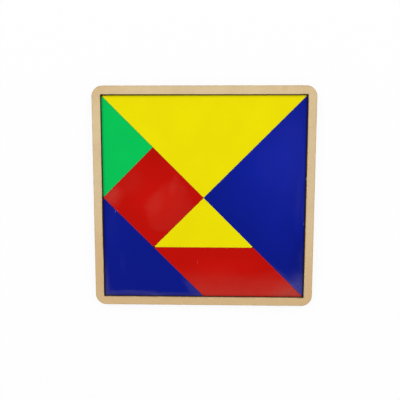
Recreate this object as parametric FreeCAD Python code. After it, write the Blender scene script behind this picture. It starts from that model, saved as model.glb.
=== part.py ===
import FreeCAD, Part
import math
import os

Vector = FreeCAD.Vector

# The tray lies on its back: X runs to the right, Y towards the upper rail and Z up,
# and the origin is the middle of the underside. All sizes are in millimetres.

# Driving dimensions of the tray
window_width = 180.0         # clear square inside the frame
rail_width = 7.5             # width of each of the frame's four rails
outer_corner_radius = 9.5    # plan radius of the tray's four outer corners
base_thickness = 3.0         # board that closes the tray below
frame_height = 5.5           # board that the frame is cut from
board_ease = 0.3             # rounding of the tray's sanded rims

# Driving dimensions of the seven tiles
tile_thickness = 3.0         # acrylic sheet that the tiles are cut from
tile_corner_radius = 0.6     # plan radius of the tiles' corners

# Clearances
border_gap = 0.5             # between the frame's window and the square of tiles, were it centred
tile_slide = 0.2             # how far the loose tiles have slid towards the lower rail
seam_gap = 0.15              # between two tiles, the width of the cut that parts them

# Sizes and levels that follow from them
outer_width = window_width + 2 * rail_width
tile_square_width = window_width - 2 * border_gap
base_top = base_thickness
frame_top = base_top + frame_height

# The dissection of the tile square on a grid of four by four, corners anticlockwise from above
grid_divisions = 4
tile_layout = {
    "large_triangle_yellow": [(0, 4), (2, 2), (4, 4)],
    "large_triangle_blue": [(4, 4), (2, 2), (4, 0)],
    "medium_triangle_blue": [(0, 2), (0, 0), (2, 0)],
    "small_triangle_green": [(0, 4), (0, 2), (1, 3)],
    "small_triangle_yellow": [(2, 2), (1, 1), (3, 1)],
    "square_red": [(1, 3), (0, 2), (1, 1), (2, 2)],
    "parallelogram_red": [(1, 1), (2, 0), (4, 0), (3, 1)],
}

# Two lengths closer than this are the same when edges are picked by their place
same_place = 0.001


def square_corners(side):
    """The corners of a square about the origin, anticlockwise."""
    half = side / 2
    return [Vector(-half, -half), Vector(half, -half), Vector(half, half), Vector(-half, half)]


def rounded_outline(corners, radius, level):
    """A closed wire through an anticlockwise outline, with every corner an arc of the radius."""
    lift = Vector(0, 0, level)
    arcs = []
    for number, corner in enumerate(corners):
        back = (corners[number - 1] - corner).normalize()
        ahead = (corners[(number + 1) % len(corners)] - corner).normalize()
        half_angle = back.getAngle(ahead) / 2
        to_tangent = radius / math.tan(half_angle)
        to_centre = radius / math.sin(half_angle)
        inward = (back + ahead).normalize()
        start = corner + back * to_tangent + lift
        middle = corner + inward * (to_centre - radius) + lift
        end = corner + ahead * to_tangent + lift
        arcs.append((start, middle, end))
    edges = []
    for number, (start, middle, end) in enumerate(arcs):
        next_start = arcs[(number + 1) % len(arcs)][0]
        edges.append(Part.Arc(start, middle, end).toShape())
        edges.append(Part.LineSegment(end, next_start).toShape())
    return Part.Wire(edges)


def board(outline, thickness):
    """A flat board or sheet that rises from its outline."""
    return Part.Face(outline).extrude(Vector(0, 0, thickness))


def flat_edges(solid, level, reach):
    """The edges that lie at one level and no further from the Z axis, in X and in Y, than the reach."""
    picked = []
    for edge in solid.Edges:
        ends = [vertex.Point for vertex in edge.Vertexes]
        at_level = all(abs(end.z - level) < same_place for end in ends)
        furthest = max(max(abs(end.x), abs(end.y)) for end in ends)
        if at_level and furthest < reach + same_place:
            picked.append(edge)
    return picked


def tray_board(level, thickness):
    """A board of the tray's outline with its upper and lower outer rims sanded round."""
    outline = rounded_outline(square_corners(outer_width), outer_corner_radius, level)
    blank = board(outline, thickness)
    rims = flat_edges(blank, level, outer_width / 2) + flat_edges(blank, level + thickness, outer_width / 2)
    return blank.makeFillet(board_ease, rims)


def base_panel():
    """The plain board under the tiles. Its top is glued to the underside of the frame."""
    return tray_board(0.0, base_thickness)


def tray_frame():
    """The square ring round the tiles, cut from one board, with its window's upper rim sanded too."""
    blank = tray_board(base_top, frame_height)
    half = window_width / 2
    window = Part.makeBox(window_width, window_width, frame_height, Vector(-half, -half, base_top))
    ring = blank.cut(window)
    return ring.makeFillet(board_ease, flat_edges(ring, frame_top, half))


def grid_point(cell):
    """A point of the dissection's grid, about the middle of the tray but for the slide."""
    step = tile_square_width / grid_divisions
    half = tile_square_width / 2
    return Vector(cell[0] * step - half, cell[1] * step - half - tile_slide)


def on_border(cell_a, cell_b):
    """True for a side that runs along the outside of the tile square, where no tile is next to it."""
    along_x = cell_a[1] == cell_b[1] and cell_a[1] in (0, grid_divisions)
    along_y = cell_a[0] == cell_b[0] and cell_a[0] in (0, grid_divisions)
    return along_x or along_y


def tile_corners(cells):
    """A tile's corners, with each side that meets another tile drawn in by half the seam."""
    lines = []
    for number, cell in enumerate(cells):
        next_cell = cells[(number + 1) % len(cells)]
        start = grid_point(cell)
        along = (grid_point(next_cell) - start).normalize()
        inward = Vector(-along.y, along.x)
        inset = 0.0 if on_border(cell, next_cell) else seam_gap / 2
        lines.append((start + inward * inset, along))
    corners = []
    for number, (point, along) in enumerate(lines):
        last_point, last_along = lines[number - 1]
        between = point - last_point
        crossing = last_along.x * along.y - last_along.y * along.x
        distance = (between.x * along.y - between.y * along.x) / crossing
        corners.append(last_point + last_along * distance)
    return corners


def tile(cells):
    """One flat tile with crisp rims, as the laser leaves them. It rests loose on the base."""
    outline = rounded_outline(tile_corners(cells), tile_corner_radius, base_top)
    return board(outline, tile_thickness)


pieces = {"base_panel": base_panel(), "tray_frame": tray_frame()}
for tile_name, tile_cells in tile_layout.items():
    pieces[tile_name] = tile(tile_cells)

os.makedirs("parts", exist_ok=True)
for name, shape in pieces.items():
    shape.exportStep(f"parts/{name}.step")
    print(f"{name}: {len(shape.Solids)} solid, {shape.Volume:.1f} cubic mm")
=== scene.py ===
import math

import bpy
from mathutils import Matrix, Vector


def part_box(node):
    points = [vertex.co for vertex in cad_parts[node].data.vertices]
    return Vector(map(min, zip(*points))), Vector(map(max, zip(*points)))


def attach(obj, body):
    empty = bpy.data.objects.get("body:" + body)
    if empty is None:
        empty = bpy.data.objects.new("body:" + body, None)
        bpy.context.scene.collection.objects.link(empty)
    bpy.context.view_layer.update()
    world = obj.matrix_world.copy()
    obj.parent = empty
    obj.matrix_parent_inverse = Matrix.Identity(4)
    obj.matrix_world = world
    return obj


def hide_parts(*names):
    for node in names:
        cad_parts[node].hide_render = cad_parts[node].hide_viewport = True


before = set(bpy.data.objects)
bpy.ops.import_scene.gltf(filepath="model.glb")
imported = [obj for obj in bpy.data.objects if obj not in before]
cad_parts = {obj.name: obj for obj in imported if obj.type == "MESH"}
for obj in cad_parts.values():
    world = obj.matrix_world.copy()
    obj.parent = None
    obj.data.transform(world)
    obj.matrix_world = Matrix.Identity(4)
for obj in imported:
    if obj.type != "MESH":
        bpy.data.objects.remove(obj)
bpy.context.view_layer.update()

# The base panel is a plain square of 3 mm medium density fibreboard with rounded corners. A laser
# cuts it out and toasts its edges brown, and sanding breaks its rims. It is glued under the frame
# and carries the seven tiles.
MM = 0.001
STOCK_THICKNESS = 3 * MM
TRAY_CORNER_RADIUS = 9.5 * MM
TRAY_CORNER_STEPS = 12
SANDED_RIM = 0.3 * MM
SANDED_RIM_STEPS = 4
SCORCH_REACH = 1.1 * MM
WELD = 0.002 * MM
FACE_TILT = 0.4  # a normal's least height on the upper face
BACK_TILT = -0.6  # and its greatest on the underside
FIBRE = (1.5 * MM, 0.16 * MM, 0.3 * MM)
FIBRE_TURNS = (8, 53, 97, 141)
WIDE_TONE_SHARE = 0.45
FIBRE_RELIEF = 0.03 * MM
STREAK = (0.3 * MM, 0.3 * MM, 9 * MM)
LAYER = (7 * MM, 7 * MM, 0.22 * MM)
LAYER_SHARE = 0.35
STREAK_RELIEF = 0.02 * MM
NOISE_MIDDLE = 0.5
MARK_RAGGEDNESS = 0.6
BASE_PALE = (0.60, 0.43, 0.22, 1)
BASE_DARK = (0.44, 0.29, 0.13, 1)
DARKER_TAN = (0.64, 0.41, 0.19, 1)
TOASTED = (0.150, 0.076, 0.032, 1)
CHARRED = (0.026, 0.014, 0.009, 1)
CHIP_AND_LIGHT_PALE = (0.72, 0.62, 0.48, 1)


def add_node(tree, kind, sockets=None, **settings):
    """Adds a node. Each socket, by name or number, gets a value or another node's output."""
    made = tree.nodes.new(kind)
    for name, value in settings.items():
        setattr(made, name, value)
    for key, value in (sockets or {}).items():
        if isinstance(value, bpy.types.NodeSocket):
            tree.links.new(value, made.inputs[key])
        else:
            made.inputs[key].default_value = value
    return made


def add_math(tree, operation, *values, **settings):
    """The output of a Math node that works on the values in their order."""
    made = add_node(tree, "ShaderNodeMath", dict(enumerate(values)), operation=operation, **settings)
    return made.outputs[0]


def add_mix(tree, share, first, second):
    """The first number with a share of the second mixed in."""
    return add_node(tree, "ShaderNodeMix", {0: share, 2: first, 3: second}).outputs[0]


def add_tint(tree, color, tint, share):
    """The colour with a share of the tint mixed in."""
    mixed = add_node(tree, "ShaderNodeMix", {0: share, 6: color, 7: tint}, data_type="RGBA")
    return mixed.outputs[2]


def add_noise(tree, place, scale, detail, distortion=0.0):
    """Cloudy noise between 0 and 1."""
    made = add_node(
        tree, "ShaderNodeTexNoise",
        {"Vector": place, "Scale": scale, "Detail": detail, "Distortion": distortion})
    return made.outputs[0]


def add_range(tree, value, low=0.0, high=1.0, to_low=0.0, to_high=1.0, soft=False):
    """The value with its span from low to high stretched to the new one, and held within it."""
    made = add_node(
        tree, "ShaderNodeMapRange",
        {"Value": value, "From Min": low, "From Max": high, "To Min": to_low, "To Max": to_high},
        interpolation_type="SMOOTHSTEP" if soft else "LINEAR")
    return made.outputs[0]


def add_placing(tree, place, middle=(0, 0, 0), turn=(0, 0, 0), size=(1, 1, 1)):
    """The place in a pattern's own measure: from its middle, along its own turned axes, in its sizes."""
    made = add_node(
        tree, "ShaderNodeMapping",
        {"Vector": place, "Location": middle, "Rotation": turn, "Scale": size}, vector_type="TEXTURE")
    return made.outputs[0]


def about_z(degrees):
    """A turn in the board's plane."""
    return (0, 0, math.radians(degrees))


def new_group(name, kind, inputs, outputs):
    """An empty node group with named sockets, and the outputs of its input node and its output node."""
    group = bpy.data.node_groups.new(name, kind)
    for label, socket_type, value in inputs:
        socket = group.interface.new_socket(label, in_out="INPUT", socket_type=socket_type)
        if value is not None:
            socket.default_value = value
    for label, socket_type in outputs:
        group.interface.new_socket(label, in_out="OUTPUT", socket_type=socket_type)
    given = group.nodes.new("NodeGroupInput").outputs
    result = group.nodes.new("NodeGroupOutput").inputs
    return group, given, result


def cut_board_tree():
    """The rule that every piece here follows: a flat board cut out along its outlines, with soft rims.
    The points of the outlines come as bare vertices, in order, each with its corner's radius."""
    tree, given, result = new_group(
        "cut board",
        "GeometryNodeTree",
        [
            ("Outline points", "NodeSocketGeometry", None),
            ("Thickness", "NodeSocketFloat", STOCK_THICKNESS),
            ("Corner steps", "NodeSocketInt", TRAY_CORNER_STEPS),
            ("Upper rim", "NodeSocketFloat", SANDED_RIM),
            ("Lower rim", "NodeSocketFloat", SANDED_RIM),
            ("Rim steps", "NodeSocketInt", SANDED_RIM_STEPS),
            ("Band", "NodeSocketFloat", SCORCH_REACH),
            ("Face", "NodeSocketMaterial", None),
            ("Wall", "NodeSocketMaterial", None),
            ("Underside", "NodeSocketMaterial", None),
        ],
        [("Board", "NodeSocketGeometry")],
    )
    index = add_node(tree, "GeometryNodeInputIndex").outputs[0]
    normal = add_node(tree, "GeometryNodeInputNormal")
    loop_number = add_node(tree, "GeometryNodeInputNamedAttribute", {"Name": "loop"}, data_type="INT")
    corner = add_node(tree, "GeometryNodeInputNamedAttribute", {"Name": "corner_radius"})
    points = add_node(tree, "GeometryNodeMeshToPoints", {"Mesh": given["Outline points"]})
    lines = add_node(
        tree, "GeometryNodePointsToCurves",
        {"Points": points.outputs[0], "Curve Group ID": loop_number.outputs[0], "Weight": index})
    loops = add_node(tree, "GeometryNodeSetSplineCyclic", {0: lines.outputs[0], "Cyclic": True})
    rounded = add_node(
        tree, "GeometryNodeFilletCurve",
        {"Curve": loops.outputs[0], "Count": given["Corner steps"], "Radius": corner.outputs[0]},
        mode="POLY")
    outline = add_node(tree, "GeometryNodeSetCurveNormal", {"Curve": rounded.outputs[0]}, mode="Z_UP")

    # The swept section starts on the upper face, runs down the wall and ends under the board. Its
    # first two points are the upper ones.
    reach = add_math(tree, "ADD", given["Upper rim"], given["Band"])
    inward = add_math(tree, "MULTIPLY", reach, -1.0)
    upper_inner = add_node(tree, "ShaderNodeCombineXYZ", {"X": inward})
    lower_outer = add_node(tree, "ShaderNodeCombineXYZ", {"Y": given["Thickness"]})
    lower_inner = add_node(tree, "ShaderNodeCombineXYZ", {"X": inward, "Y": given["Thickness"]})
    section = add_node(
        tree, "GeometryNodeCurvePrimitiveQuadrilateral",
        {"Point 1": upper_inner.outputs[0], "Point 2": (0, 0, 0),
         "Point 3": lower_outer.outputs[0], "Point 4": lower_inner.outputs[0]}, mode="POINTS")
    open_section = add_node(tree, "GeometryNodeSetSplineCyclic", {0: section.outputs[0], "Cyclic": False})
    last_upper_point = 1
    past_upper = add_math(tree, "GREATER_THAN", index, last_upper_point + 0.5)
    rim = add_mix(tree, past_upper, given["Upper rim"], given["Lower rim"])
    soft_section = add_node(
        tree, "GeometryNodeFilletCurve",
        {"Curve": open_section.outputs[0], "Count": given["Rim steps"], "Radius": rim}, mode="POLY")
    ends = add_node(tree, "GeometryNodeCurveEndpointSelection")
    near_cut = add_node(tree, "FunctionNodeBooleanMath", {0: ends.outputs[0]}, operation="NOT")
    marked_section = add_node(
        tree, "GeometryNodeStoreNamedAttribute",
        {"Geometry": soft_section.outputs[0], "Name": "near_cut", "Value": near_cut.outputs[0]})
    swept = add_node(
        tree, "GeometryNodeCurveToMesh",
        {"Curve": outline.outputs[0], "Profile Curve": marked_section.outputs[0]})

    # Two flat faces close what the swept section leaves open
    step_in = add_node(
        tree, "ShaderNodeVectorMath", {0: normal.outputs[0], "Scale": inward}, operation="SCALE")
    inner_outline = add_node(
        tree, "GeometryNodeSetPosition", {"Geometry": outline.outputs[0], "Offset": step_in.outputs[0]})
    upper_face = add_node(
        tree, "GeometryNodeFillCurve", {"Curve": inner_outline.outputs[0]}, mode="NGONS")
    depth = add_math(tree, "MULTIPLY", given["Thickness"], -1.0)
    down = add_node(tree, "ShaderNodeCombineXYZ", {"Z": depth})
    lowered = add_node(
        tree, "GeometryNodeTransform", {"Geometry": upper_face.outputs[0], "Translation": down.outputs[0]})
    lower_face = add_node(tree, "GeometryNodeFlipFaces", {"Mesh": lowered.outputs[0]})
    together = add_node(tree, "GeometryNodeJoinGeometry", {0: swept.outputs[0]})
    tree.links.new(upper_face.outputs[0], together.inputs[0])
    tree.links.new(lower_face.outputs[0], together.inputs[0])
    closed = add_node(
        tree, "GeometryNodeMergeByDistance", {"Geometry": together.outputs[0], "Distance": WELD})
    smooth = add_node(tree, "GeometryNodeSetShadeSmooth", {"Geometry": closed.outputs[0]})
    whole = add_node(tree, "GeometryNodeRealizeInstances", {"Geometry": smooth.outputs[0]})

    # What looks up is face, what looks down is underside, and the rest is the cut wall
    facing = add_node(tree, "ShaderNodeSeparateXYZ", {0: normal.outputs[1]}).outputs["Z"]
    looks_up = add_math(tree, "GREATER_THAN", facing, FACE_TILT)
    looks_down = add_math(tree, "LESS_THAN", facing, BACK_TILT)
    finished = whole.outputs[0]
    for material, where in (("Wall", True), ("Face", looks_up), ("Underside", looks_down)):
        finished = add_node(
            tree, "GeometryNodeSetMaterial",
            {"Geometry": finished, "Selection": where, "Material": given[material]}).outputs[0]
    tree.links.new(finished, result["Board"])
    return tree


CUT_BOARD = cut_board_tree()


def cut_board(name, node, loops, **choices):
    """Cuts the board that stands for a CAD node, between that node's levels.
    Each loop is a list of corners seen from above and the radius that rounds them."""
    low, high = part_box(node)
    corners = [(x, y, 0) for loop, radius in loops for x, y in loop]
    numbers = [number for number, (loop, radius) in enumerate(loops) for corner in loop]
    radii = [radius for loop, radius in loops for corner in loop]
    pattern = bpy.data.meshes.new(name + "_pattern")
    pattern.from_pydata(corners, [], [])
    pattern.attributes.new("loop", "INT", "POINT").data.foreach_set("value", numbers)
    pattern.attributes.new("corner_radius", "FLOAT", "POINT").data.foreach_set("value", radii)
    blank = bpy.data.objects.new(name + "_blank", pattern)
    bpy.context.scene.collection.objects.link(blank)
    cutter = blank.modifiers.new("cut board", "NODES")
    cutter.node_group = CUT_BOARD
    choices["Thickness"] = high.z - low.z
    for socket in CUT_BOARD.interface.items_tree:
        if socket.name in choices:
            cutter[socket.identifier] = choices[socket.name]
    even = blank.modifiers.new("even shading", "WEIGHTED_NORMAL")
    even.keep_sharp = True
    mesh = bpy.data.meshes.new_from_object(blank.evaluated_get(bpy.context.evaluated_depsgraph_get()))
    mesh.transform(Matrix.Translation((0, 0, high.z)))
    mesh.materials.pop(index=0)  # the tree leaves an empty first slot
    bpy.data.objects.remove(blank)
    bpy.data.meshes.remove(pattern)
    piece = bpy.data.objects.new(name, mesh)
    bpy.context.scene.collection.objects.link(piece)
    return piece


def fibreboard_group():
    """Felted wood fibres: flecks that lie every way in the board's plane, over an uneven tone."""
    group, given, result = new_group(
        "fibreboard", "ShaderNodeTree",
        [("Pale", "NodeSocketColor", None), ("Dark", "NodeSocketColor", None),
         ("Place", "NodeSocketVector", None)],
        [("Color", "NodeSocketColor"), ("Roughness", "NodeSocketFloat"), ("Height", "NodeSocketFloat")])
    flecks = [
        add_noise(
            group, add_placing(group, given["Place"], turn=about_z(turn), size=FIBRE),
            scale=1.0, detail=2.0)
        for turn in FIBRE_TURNS]
    longest = shortest = flecks[0]
    for more in flecks[1:]:
        longest = add_math(group, "MAXIMUM", longest, more)
        shortest = add_math(group, "MINIMUM", shortest, more)
    felt = add_range(group, add_math(group, "ADD", longest, shortest), low=0.84, high=1.16)
    wide = add_noise(group, given["Place"], scale=55.0, detail=3.0)
    tone = add_mix(group, WIDE_TONE_SHARE, felt, add_range(group, wide, low=0.3, high=0.7))
    group.links.new(add_tint(group, given["Dark"], given["Pale"], tone), result["Color"])
    group.links.new(add_range(group, felt, to_low=0.78, to_high=0.64), result["Roughness"])
    group.links.new(felt, result["Height"])
    return group


def laser_cut_group():
    """A laser-cut wall: fine streaks run from face to face, and faint layers lie across them."""
    group, given, result = new_group(
        "laser cut", "ShaderNodeTree",
        [("Pale", "NodeSocketColor", None), ("Dark", "NodeSocketColor", None),
         ("Place", "NodeSocketVector", None)],
        [("Color", "NodeSocketColor"), ("Tone", "NodeSocketFloat")])
    streaks = add_noise(group, add_placing(group, given["Place"], size=STREAK), scale=1.0, detail=2.0)
    layers = add_noise(group, add_placing(group, given["Place"], size=LAYER), scale=1.0, detail=1.0)
    tone = add_range(group, add_mix(group, LAYER_SHARE, streaks, layers), low=0.38, high=0.62)
    group.links.new(add_tint(group, given["Dark"], given["Pale"], tone), result["Color"])
    group.links.new(tone, result["Tone"])
    return group


def mark_group():
    """A ragged oval mark at a place on the object: 1 in its core and 0 past its rim."""
    group, given, result = new_group(
        "mark", "ShaderNodeTree",
        [("Place", "NodeSocketVector", None), ("Middle", "NodeSocketVector", None),
         ("Turn", "NodeSocketVector", None), ("Half size", "NodeSocketVector", None),
         ("Core", "NodeSocketFloat", 0.3)],
        [("Mark", "NodeSocketFloat")])
    own = add_placing(group, given["Place"], given["Middle"], given["Turn"], given["Half size"])
    distance = add_node(group, "ShaderNodeVectorMath", {0: own}, operation="LENGTH").outputs["Value"]
    rag = add_noise(group, own, scale=1.6, detail=3.0)
    centred = add_math(group, "SUBTRACT", rag, NOISE_MIDDLE)
    strayed = add_math(group, "MULTIPLY_ADD", centred, MARK_RAGGEDNESS, distance)
    group.links.new(add_range(group, strayed, low=1.0, high=given["Core"], soft=True), result["Mark"])
    return group


FIBREBOARD = fibreboard_group()
LASER_CUT = laser_cut_group()
MARK = mark_group()


def new_material(name, specular=0.5):
    """A material with one Principled shader, and its tree, shader and object coordinates."""
    material = bpy.data.materials.new(name)
    material.use_nodes = True
    tree = material.node_tree
    shader = tree.nodes["Principled BSDF"]
    shader.inputs["Specular IOR Level"].default_value = specular
    place = add_node(tree, "ShaderNodeTexCoord").outputs["Object"]
    return material, tree, shader, place


def add_turn(tree, place, degrees):
    """The place turned in the board's plane, so that two sheets don't share one pattern."""
    return add_node(
        tree, "ShaderNodeMapping", {"Vector": place, "Rotation": about_z(degrees)}).outputs[0]


def add_relief(tree, shader, height, depth):
    """Feeds a height between 0 and 1 to the shader as a bump of the given depth."""
    bump = add_node(tree, "ShaderNodeBump", {"Height": height, "Distance": depth})
    tree.links.new(bump.outputs[0], shader.inputs["Normal"])


def add_marks(tree, place, marks):
    """The sum of some marks. Each has its middle and half size, in millimetres on the tray seen from
    above, its turn in degrees, the share of it that is its core, and its strength."""
    total = 0.0
    for middle, half_size, turn, core, strength in marks:
        mark = add_node(
            tree, "ShaderNodeGroup", node_tree=MARK,
            sockets={"Place": place, "Middle": [value * MM for value in middle] + [0],
                     "Turn": about_z(turn), "Core": core,
                     "Half size": [value * MM for value in half_size] + [1]})
        total = add_math(tree, "MULTIPLY_ADD", mark.outputs[0], strength, total)
    return total


def bare_board(name, pale, dark, turn, scorch, shade_and_spots=(), painted_rim_shade_and_light=(), chip_and_light_marks=()):
    """Bare sanded fibreboard, browned a little by the laser along its cut edges, and browned more at marks
    that paint shade and less at marks that paint light."""
    material, tree, shader, place = new_material(name, specular=0.3)
    board = add_node(
        tree, "ShaderNodeGroup", node_tree=FIBREBOARD,
        sockets={"Pale": pale, "Dark": dark, "Place": add_turn(tree, place, turn)})
    near_cut = add_node(tree, "ShaderNodeAttribute", attribute_name="near_cut").outputs["Fac"]
    smoke = add_math(tree, "MULTIPLY", near_cut, add_noise(tree, place, scale=260.0, detail=2.0))
    browned = add_range(tree, smoke, low=0.15, high=0.75, to_high=scorch, soft=True)
    # The laser's scorch, with painted shade and light added by the marks
    scorch_with_painted_light_and_shade = add_math(tree, "ADD", browned, add_marks(tree, place, painted_rim_shade_and_light), use_clamp=True)
    # Painted shade, and one dark spot, towards a darker tan
    color = add_tint(tree, board.outputs["Color"], DARKER_TAN, add_marks(tree, place, shade_and_spots))
    color = add_tint(tree, color, TOASTED, scorch_with_painted_light_and_shade)
    color = add_tint(tree, color, CHIP_AND_LIGHT_PALE, add_marks(tree, place, chip_and_light_marks))
    tree.links.new(color, shader.inputs["Base Color"])
    tree.links.new(board.outputs["Roughness"], shader.inputs["Roughness"])
    add_relief(tree, shader, board.outputs["Height"], FIBRE_RELIEF)
    return material


def cut_wall(name, pale, dark, roughest, smoothest, specular, chip_and_light_marks=()):
    """The wall that the laser leaves, rougher where its streaks are darker, and pale at its chips and
    where light is painted on it.
    """
    material, tree, shader, place = new_material(name, specular)
    wall = add_node(
        tree, "ShaderNodeGroup", node_tree=LASER_CUT,
        sockets={"Pale": pale, "Dark": dark, "Place": place})
    rough = add_range(tree, wall.outputs["Tone"], to_low=roughest, to_high=smoothest)
    # Pale chips, and painted light where a mark stands for it
    color = add_tint(tree, wall.outputs["Color"], CHIP_AND_LIGHT_PALE, add_marks(tree, place, chip_and_light_marks))
    tree.links.new(color, shader.inputs["Base Color"])
    tree.links.new(rough, shader.inputs["Roughness"])
    add_relief(tree, shader, wall.outputs["Tone"], STREAK_RELIEF)
    return material


def toasted_edge(name, chip_and_light_marks=()):
    """The wall of a board, which the laser toasts brown."""
    return cut_wall(name, TOASTED, CHARRED, roughest=0.9, smoothest=0.7, specular=0.2, chip_and_light_marks=chip_and_light_marks)


def square(half_width, clockwise=False):
    """The corners of a square about the middle, anticlockwise unless it is a window."""
    corners = [(-half_width, -half_width), (half_width, -half_width),
               (half_width, half_width), (-half_width, half_width)]
    return corners[::-1] if clockwise else corners


tray_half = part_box("base_panel")[1].x
base_board = bare_board("base board", BASE_PALE, BASE_DARK, turn=20, scorch=0.3)
base_panel = cut_board(
    "base_panel_finished", "base_panel", [(square(tray_half), TRAY_CORNER_RADIUS)],
    Face=base_board, Wall=toasted_edge("base edge"), Underside=base_board)
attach(base_panel, "root")
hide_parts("base_panel")

# The frame is one ring of the same fibreboard, 5.5 mm thick, cut out by the laser and glued on the base.
# Its top is sanded pale again, but for the scorch along its edges, which is darker along parts of the
# window's rims as painted shade and fainter along others as painted light. Its lower half and upper
# corners are darker and warmer as painted shade, a small dark spot lies on the upper rail, the window's
# right-hand rim has lost one small chip, and the upper rail's inner wall carries painted light.
RAIL_WIDTH = 7.5 * MM
WINDOW_CORNER = 0.12 * MM
FRAME_PALE = (0.74, 0.575, 0.335, 1)
FRAME_DARK = (0.645, 0.47, 0.26, 1)

# Marks, as add_marks takes them. Where a strength is below zero, the scorch is fainter.
# Painted shade: darker, warmer tone over the lower half and at the upper corners. The small mark is a dark
# spot.
PAINTED_SHADE_AND_SPOT = [((0, -120), (190, 130), 0, 0.55, 0.6), ((-100, -55), (14, 50), 0, 0.3, 0.3),
           ((-98, 98), (50, 30), 0, 0.2, 0.3), ((90, 96), (30, 12), 0, 0.2, 0.2),
           ((69.5, 95.2), (4, 4), 0, 0.3, 0.35)]
WINDOW_CHIP = [((89.9, 17), (0.7, 1.6), 0, 0.5, 0.45)]
# Painted shade: darker scorch on the right-hand and lower left window rims. Painted light: fainter on the
# rest.
SCORCH_WITH_PAINTED_SHADE_AND_LIGHT = [((90.1, 2), (0.36, 93), 0, 0.8, 1.0), ((-90.1, -24), (0.3, 30), 0, 0.6, 0.9),
                 ((0, 90.3), (93, 0.9), 0, 0.7, -0.35), ((-90.3, 62), (0.9, 26), 0, 0.6, -0.35),
                 ((66, -90.3), (24, 0.9), 0, 0.6, -0.35)]
# Painted light: the upper rail's inner wall is painted paler, for light the yellow tile throws back on it.
PAINTED_LIGHT_ON_UPPER_WALL = [((45, 90), (95, 3), 0, 0.3, 0.4)]

frame_board = bare_board(
    "frame board", FRAME_PALE, FRAME_DARK, turn=0, scorch=0.35,
    shade_and_spots=PAINTED_SHADE_AND_SPOT, painted_rim_shade_and_light=SCORCH_WITH_PAINTED_SHADE_AND_LIGHT, chip_and_light_marks=WINDOW_CHIP)
tray_frame = cut_board(
    "tray_frame_finished", "tray_frame",
    [(square(tray_half), TRAY_CORNER_RADIUS),
     (square(tray_half - RAIL_WIDTH, clockwise=True), WINDOW_CORNER)],
    Face=frame_board, Wall=toasted_edge("frame edge", WINDOW_CHIP + PAINTED_LIGHT_ON_UPPER_WALL), Underside=frame_board)
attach(tray_frame, "root")
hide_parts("tray_frame")

# The two yellow tiles, the large triangle under the upper rail and the small one below the middle,
# are 3 mm cast acrylic sheet, coloured right through and glossy. A laser cuts them out, and they lie
# loose in the tray.
TILE_CORNER_RADIUS = 0.6 * MM
TILE_CORNER_STEPS = 6
TILE_RIM = 0.1 * MM
TILE_LOWER_RIM = TILE_RIM / 4
TILE_RIM_STEPS = 2
SEAM = 0.15 * MM
TILE_GRID = 4
ACRYLIC_ROUGHNESS = 0.10
RIM_ROUGHNESS = 0.5  # what the rims have more than the face
HAIRLINE_LENGTH = 30 * MM
HAIRLINES = ((24, 0.11 * MM), (-61, 0.16 * MM))  # their turns in degrees and their spacings
HAIRLINE_ROUGHNESS = 0.10
PRINT_ROUGHNESS = 0.2
# A print's pale film of grease colour is painted haze, a painted reflection on the gloss.
PRINT_FILM_AND_PAINTED_HAZE = 0.05  # how much of the grease's own colour a full print shows
GREASE_AND_PAINTED_HAZE = (0.74, 0.60, 0.40, 1)
RIPPLE_SHARE = 0.02
ACRYLIC_RELIEF = 0.35 * MM
EDGE_DEPTH = 0.75
CRUSHED = (0.75, 0.75, 0.78, 1)
YELLOW = (0.875, 0.765, 0.0012, 1)


def acrylic_group():
    """Glossy cast acrylic: pigment with faint clouds and with painted light and shade, fine hairlines and
    dull prints in the gloss, whose pale film is painted haze, and a skin that is flat to a hundredth of a
    millimetre but for long soft waves."""
    group, given, result = new_group(
        "acrylic", "ShaderNodeTree",
        [("Pigment", "NodeSocketColor", None), ("Print and painted haze", "NodeSocketFloat", 0.0),
         ("Painted light and shade", "NodeSocketFloat", 0.0), ("Place", "NodeSocketVector", None)],
        [("Color", "NodeSocketColor"), ("Roughness", "NodeSocketFloat"), ("Height", "NodeSocketFloat")])
    clouds = add_noise(group, given["Place"], scale=42.0, detail=3.0)
    strength = add_range(group, clouds, low=0.3, high=0.7, to_low=0.98, to_high=1.02)
    # Painted light and shade: the pigment is made stronger or weaker at the marks
    tone_with_painted_light_and_shade = add_math(group, "ADD", strength, given["Painted light and shade"])
    dyed = add_node(
        group, "ShaderNodeVectorMath", {0: given["Pigment"], "Scale": tone_with_painted_light_and_shade}, operation="SCALE")
    smears = add_noise(group, given["Place"], scale=75.0, detail=3.0, distortion=0.6)
    smeared = add_range(group, smears, low=0.25, high=0.75, to_low=0.8, to_high=1.2)
    grease_and_haze = add_math(group, "MULTIPLY", given["Print and painted haze"], smeared)
    # Painted haze: a pale film over the prints
    film_and_painted_haze = add_math(group, "MULTIPLY", grease_and_haze, PRINT_FILM_AND_PAINTED_HAZE)
    scratches = 0.0
    for turn, spacing in HAIRLINES:
        lines = add_placing(
            group, given["Place"], turn=about_z(turn), size=(HAIRLINE_LENGTH, spacing, 1))
        fine = add_range(group, add_noise(group, lines, scale=1.0, detail=1.0), low=0.66, high=0.76)
        scratches = add_math(group, "MULTIPLY_ADD", fine, HAIRLINE_ROUGHNESS, scratches)
    dull = add_math(group, "MULTIPLY_ADD", grease_and_haze, PRINT_ROUGHNESS, ACRYLIC_ROUGHNESS)
    waves = add_noise(group, given["Place"], scale=24.0, detail=1.0)
    ripple = add_noise(group, given["Place"], scale=520.0, detail=1.0)
    group.links.new(add_tint(group, dyed.outputs[0], GREASE_AND_PAINTED_HAZE, film_and_painted_haze), result["Color"])
    group.links.new(add_math(group, "ADD", dull, scratches), result["Roughness"])
    group.links.new(add_math(group, "MULTIPLY_ADD", ripple, RIPPLE_SHARE, waves), result["Height"])
    return group


ACRYLIC = acrylic_group()


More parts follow.
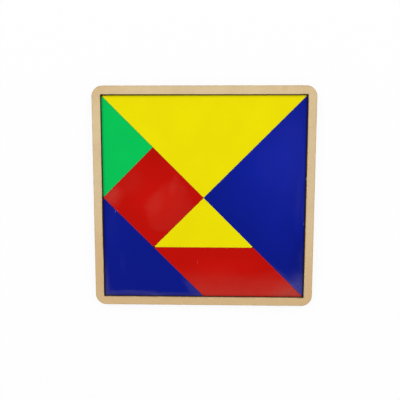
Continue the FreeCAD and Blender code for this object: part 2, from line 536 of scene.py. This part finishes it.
def acrylic(name, pigment, turn, prints_and_painted_haze=(), painted_light_and_shade=(), nicks=()):
    """The face of an acrylic tile, with its dull greasy prints and their painted haze, its painted light
    and shade, and its pale nicks.
    """
    material, tree, shader, place = new_material(name)
    sheet = add_node(
        tree, "ShaderNodeGroup", node_tree=ACRYLIC,
        sockets={"Pigment": pigment, "Print and painted haze": add_marks(tree, place, prints_and_painted_haze),
                 "Painted light and shade": add_marks(tree, place, painted_light_and_shade), "Place": add_turn(tree, place, turn)})
    color = add_tint(tree, sheet.outputs["Color"], CRUSHED, add_marks(tree, place, nicks))
    near_cut = add_node(tree, "ShaderNodeAttribute", attribute_name="near_cut").outputs["Fac"]
    rough = add_math(tree, "MULTIPLY_ADD", near_cut, RIM_ROUGHNESS, sheet.outputs["Roughness"])
    tree.links.new(color, shader.inputs["Base Color"])
    tree.links.new(rough, shader.inputs["Roughness"])
    add_relief(tree, shader, sheet.outputs["Height"], ACRYLIC_RELIEF)
    return material


def acrylic_edge(name, pigment):
    """The wall of an acrylic tile, which the laser leaves nearly clear and finely ribbed."""
    deeper = tuple(channel * EDGE_DEPTH for channel in pigment[:3]) + (1,)
    return cut_wall(name, pigment, deeper, roughest=0.32, smoothest=0.16, specular=0.5)


tile_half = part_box("large_triangle_blue")[1].x
tile_slide = tile_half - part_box("large_triangle_yellow")[1].y


def tile_corners(cells):
    """A tile's corners on the grid of the dissection, with each side that meets another tile drawn in
    by half the seam. The whole square of tiles has slid a little towards the lower rail."""
    step = 2 * tile_half / TILE_GRID
    first = Vector((-tile_half, -tile_half - tile_slide))
    sides = []
    for cell, next_cell in zip(cells, cells[1:] + cells[:1]):
        along = (Vector(next_cell) - Vector(cell)).normalized()
        on_border = any(cell[axis] == next_cell[axis] and cell[axis] in (0, TILE_GRID) for axis in (0, 1))
        inset = 0.0 if on_border else SEAM / 2
        sides.append((first + Vector(cell) * step + Vector((-along.y, along.x)) * inset, along))
    corners = []
    for (last_start, last_along), (start, along) in zip(sides[-1:] + sides[:-1], sides):
        distance = (start - last_start).cross(along) / last_along.cross(along)
        corners.append(tuple(last_start + last_along * distance))
    return corners


def cut_tile(node, cells, face, wall):
    """Cuts one tile, which rests loose on the base."""
    tile = cut_board(
        node + "_finished", node, [(tile_corners(cells), TILE_CORNER_RADIUS)],
        Face=face, Wall=wall, Underside=face,
        **{"Corner steps": TILE_CORNER_STEPS, "Upper rim": TILE_RIM, "Lower rim": TILE_LOWER_RIM,
           "Rim steps": TILE_RIM_STEPS, "Band": TILE_RIM})
    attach(tile, "root")
    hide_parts(node)


yellow_face = acrylic("yellow acrylic", YELLOW, turn=10)
yellow_edge = acrylic_edge("yellow acrylic edge", YELLOW)
cut_tile("large_triangle_yellow", [(0, 4), (2, 2), (4, 4)], yellow_face, yellow_edge)
cut_tile("small_triangle_yellow", [(2, 2), (1, 1), (3, 1)], yellow_face, yellow_edge)

# The two blue tiles are the large triangle at the right-hand rail and the medium one in the lower left
# corner, of the same acrylic. Their dark gloss shows every print, and the prints' pale film paints part
# of the haze on it. The large one is painted lighter over its upper part and at its lower corner and
# darker at one place by its right-hand edge, and the medium one a little lighter by the left-hand rail,
# as painted light and shade. Two tiny nicks lie at the seam of the medium one and the red square, and
# the large one is bruised at one place of its right-hand edge.
BLUE = (0.0035, 0.0105, 0.245, 1)
SEAM_NICKS = [((-78.85, -12.5), (0.28, 1.5), 0, 0.4, 0.22), ((-76.9, -12.1), (0.25, 1.0), 0, 0.4, 0.14)]
EDGE_BRUISE = [((89.2, -23.1), (0.7, 2.2), 0, 0.3, 0.1)]

blue_edge = acrylic_edge("blue acrylic edge", BLUE)
large_blue_face = acrylic(
    "blue acrylic, large tile", BLUE, turn=130,
    prints_and_painted_haze=[((91, -93), (33, 33), 0, 0.3, 0.95), ((72, -72), (26, 4), -45, 0.2, 0.3),
            ((84, -2), (4.5, 32), -2, 0.2, 0.12), ((80, 40), (50, 65), 0, 0.1, 0.12),
            ((88.5, -56), (2.5, 22), 0, 0.3, 0.15), ((88.8, -10), (2.4, 20), 0, 0.4, 0.2),
            ((88, 25), (3, 26), 0, 0.3, 0.08), ((86, -55), (3.5, 12), 0, 0.2, 0.1)],
    painted_light_and_shade=[((70, 30), (75, 90), 0, 0.3, 0.27), ((58, 30), (30, 34), 45, 0.2, 0.12),
              ((86, -55), (12, 26), 0, 0.2, -0.12), ((90, -88), (24, 18), 0, 0.3, 0.1),
              ((76, 44), (22, 34), 0, 0.2, 0.08)],
    nicks=EDGE_BRUISE)
cut_tile("large_triangle_blue", [(4, 4), (2, 2), (4, 0)], large_blue_face, blue_edge)
medium_blue_face = acrylic(
    "blue acrylic, medium tile", BLUE, turn=75,
    prints_and_painted_haze=[((-64, -91), (34, 7.5), 0, 0.7, 0.45), ((-25, -91.5), (42, 6), 0, 0.6, 0.4),
            ((-91.5, -80), (8, 26), 0, 0.4, 0.42), ((-89, -89), (12, 12), 0, 0.2, 0.2),
            ((-7, -84), (18, 7), -45, 0.3, 0.45), ((-82, -22), (9, 40), 0, 0.2, 0.05),
            ((-73, -60), (4, 14), 8, 0.2, 0.06), ((-88.5, -66), (4, 24), 0, 0.3, 0.1)],
    painted_light_and_shade=[((-78, -35), (22, 50), 0, 0.2, 0.07)],
    nicks=SEAM_NICKS)
cut_tile("medium_triangle_blue", [(0, 2), (0, 0), (2, 0)], medium_blue_face, blue_edge)

# The green tile is the small triangle at the left-hand rail. It is the same cast acrylic sheet, cut out
# by the laser and laid loose in the tray, and it is nearly clean.
GREEN = (0.0022, 0.565, 0.0985, 1)

green_face = acrylic("green acrylic", GREEN, turn=200)
green_edge = acrylic_edge("green acrylic edge", GREEN)
cut_tile("small_triangle_green", [(0, 4), (0, 2), (1, 3)], green_face, green_edge)

# The two red tiles, the square left of the middle and the parallelogram at the lower rail, are of the
# same acrylic. The square has a wide dull print that ends sharply on the left, and one at its corner,
# and their pale film is painted haze. It is painted lighter over the wide print and darker towards its
# upper corner, as painted light and shade. The parallelogram is dull towards the rail, with painted
# haze there, is painted darker at its right-hand end and a little lighter along its upper middle, as
# painted shade and light, and has one short scratch.
RED = (0.530, 0.0050, 0.0023, 1)
SHORT_SCRATCH = [((-5.3, -58.2), (0.4, 2.6), 5, 0.3, 0.055)]

red_edge = acrylic_edge("red acrylic edge", RED)
square_face = acrylic(
    "red acrylic, square tile", RED, turn=-35,
    prints_and_painted_haze=[((-30, -8), (26, 21), 45, 0.8, 0.2), ((-43, -5), (11, 16), -35, 0.3, 0.15),
            ((-26, 12), (5, 14), -15, 0.2, 0.2), ((-8, 2), (15, 12), 0, 0.2, -0.12),
            ((-82, 1), (16, 12), 45, 0.1, 0.62), ((-64, 14), (18, 15), 45, 0.2, 0.14)],
    painted_light_and_shade=[((-42, -2), (30, 26), 0, 0.3, 0.09), ((-45, 40), (18, 16), 0, 0.2, -0.1)],
    nicks=SEAM_NICKS)
cut_tile("square_red", [(1, 3), (0, 2), (1, 1), (2, 2)], square_face, red_edge)
parallelogram_face = acrylic(
    "red acrylic, parallelogram tile", RED, turn=50,
    prints_and_painted_haze=[((30, -107), (220, 51), 2, 0.2, 0.7), ((80, -88), (36, 22), 0, 0.1, 0.34),
            ((44, -66), (24, 12), 0, 0.1, -0.12)],
    painted_light_and_shade=[((84, -88), (26, 14), 0, 0.2, -0.14), ((15, -64), (44, 13), 0, 0.3, 0.07)],
    nicks=SHORT_SCRATCH)
cut_tile("parallelogram_red", [(1, 1), (2, 0), (4, 0), (3, 1)], parallelogram_face, red_edge)

# The floor is a plain white table top. Its share of glow keeps it white to the camera and in the
# gloss, and the rest takes the tray's soft shadow.
FLOOR_HALF = 4.0
FLOOR_WHITE = (0.93, 0.93, 0.93, 1)
FLOOR_GLOW = 0.92
GLOW_WHITE = (1, 1, 1, 1)


def background_rays(tree, reflected=1.0):
    """1 on the camera's rays, and the given share on those that gloss and glass send on."""
    ray = add_node(tree, "ShaderNodeLightPath")
    seen = ray.outputs["Is Camera Ray"]
    for other in ("Is Glossy Ray", "Is Transmission Ray"):
        seen = add_math(
            tree, "MAXIMUM", seen, add_math(tree, "MULTIPLY", ray.outputs[other], reflected))
    return seen


floor_mesh = bpy.data.meshes.new("floor")
floor_mesh.from_pydata([(x, y, 0) for x, y in square(FLOOR_HALF)], [], [(0, 1, 2, 3)])
floor = bpy.data.objects.new("floor", floor_mesh)
bpy.context.scene.collection.objects.link(floor)
floor_material = bpy.data.materials.new("white table")
floor_material.use_nodes = True
floor_tree = floor_material.node_tree
floor_tree.nodes.clear()
matt = add_node(floor_tree, "ShaderNodeBsdfDiffuse", {"Color": FLOOR_WHITE})
glow = add_node(floor_tree, "ShaderNodeEmission", {"Color": GLOW_WHITE, "Strength": 1.0})
glow_share = add_math(floor_tree, "MULTIPLY", background_rays(floor_tree), FLOOR_GLOW)
mixed = add_node(
    floor_tree, "ShaderNodeMixShader", {0: glow_share, 1: matt.outputs[0], 2: glow.outputs[0]})
add_node(floor_tree, "ShaderNodeOutputMaterial", {"Surface": mixed.outputs[0]})
floor_mesh.materials.append(floor_material)

# The light is a tent round the table with a dark opening overhead, where the camera stands, and four
# large soft lamps. The two on the upper side are the stronger ones, so that the upper rail casts the
# widest shade. To the camera, and low down in the gloss too, the tent is a plain white background.
TENT_LIGHT = 0.375
WHITE_LIGHT = 1.0
LOW_TENT = math.sin(math.radians(4))
LOW_TENT_RIM = math.sin(math.radians(14))
OPENING = math.cos(math.radians(24))
OPENING_RIM = math.cos(math.radians(32))
OPENING_LIGHT = 0.03
UPPER_LAMP = 12.8
LOWER_LAMP = 4.0
LAMPS = ((45, UPPER_LAMP), (135, UPPER_LAMP), (225, LOWER_LAMP), (315, LOWER_LAMP))
LAMP_SIZE = 1.0
LAMP_DISTANCE = 1.8
LAMP_ELEVATION = math.radians(46)

world = bpy.data.worlds.new("light tent")
world.use_nodes = True
bpy.context.scene.world = world
tent = world.node_tree
direction = add_node(tent, "ShaderNodeTexCoord").outputs["Generated"]
upward = add_node(tent, "ShaderNodeSeparateXYZ", {0: direction}).outputs["Z"]
low_down = add_range(tent, upward, low=LOW_TENT_RIM, high=LOW_TENT)
wall_light = add_mix(tent, background_rays(tent, low_down), TENT_LIGHT, WHITE_LIGHT)
tent_light = add_range(
    tent, upward, low=OPENING_RIM, high=OPENING, to_low=wall_light, to_high=OPENING_LIGHT)
tent.links.new(tent_light, tent.nodes["Background"].inputs["Color"])

for turn, power in LAMPS:
    lamp_data = bpy.data.lights.new(f"soft_lamp_{turn}", "AREA")
    lamp_data.shape = "SQUARE"
    lamp_data.size = LAMP_SIZE
    lamp_data.energy = power
    lamp = bpy.data.objects.new(f"soft_lamp_{turn}", lamp_data)
    bpy.context.scene.collection.objects.link(lamp)
    azimuth = math.radians(turn)
    lamp.location = Vector((
        math.cos(azimuth) * math.cos(LAMP_ELEVATION),
        math.sin(azimuth) * math.cos(LAMP_ELEVATION),
        math.sin(LAMP_ELEVATION))) * LAMP_DISTANCE
    lamp.rotation_euler = (-lamp.location).to_track_quat("-Z", "Y").to_euler()

# The camera looks almost straight down on the tray from a little above its middle. The upper rail is
# at the top of the picture.
CAMERA_PLACE = Vector((7.98, 48.85, 446.93)) * MM
CAMERA_AIM = Vector((-3.12, -1.78, 8.5)) * MM
CAMERA_ROLL = math.radians(-0.08)
CAMERA_LENS = 45.0
SENSOR_WIDTH = 36.0
NEAREST_SEEN = 10 * MM
TOWARDS_UPPER_RAIL = Vector((0, 1, 0))

camera_data = bpy.data.cameras.new("camera")
camera_data.lens = CAMERA_LENS
camera_data.sensor_width = SENSOR_WIDTH
camera_data.clip_start = NEAREST_SEEN
camera = bpy.data.objects.new("camera", camera_data)
bpy.context.scene.collection.objects.link(camera)
forward = (CAMERA_AIM - CAMERA_PLACE).normalized()
right = forward.cross(TOWARDS_UPPER_RAIL).normalized()
up = right.cross(forward)
level_view = Matrix((right, up, -forward)).transposed().to_4x4()
camera.matrix_world = (
    Matrix.Translation(CAMERA_PLACE) @ level_view @ Matrix.Rotation(-CAMERA_ROLL, 4, "Z"))
bpy.context.scene.camera = camera
bpy.context.scene.view_settings.view_transform = "Standard"
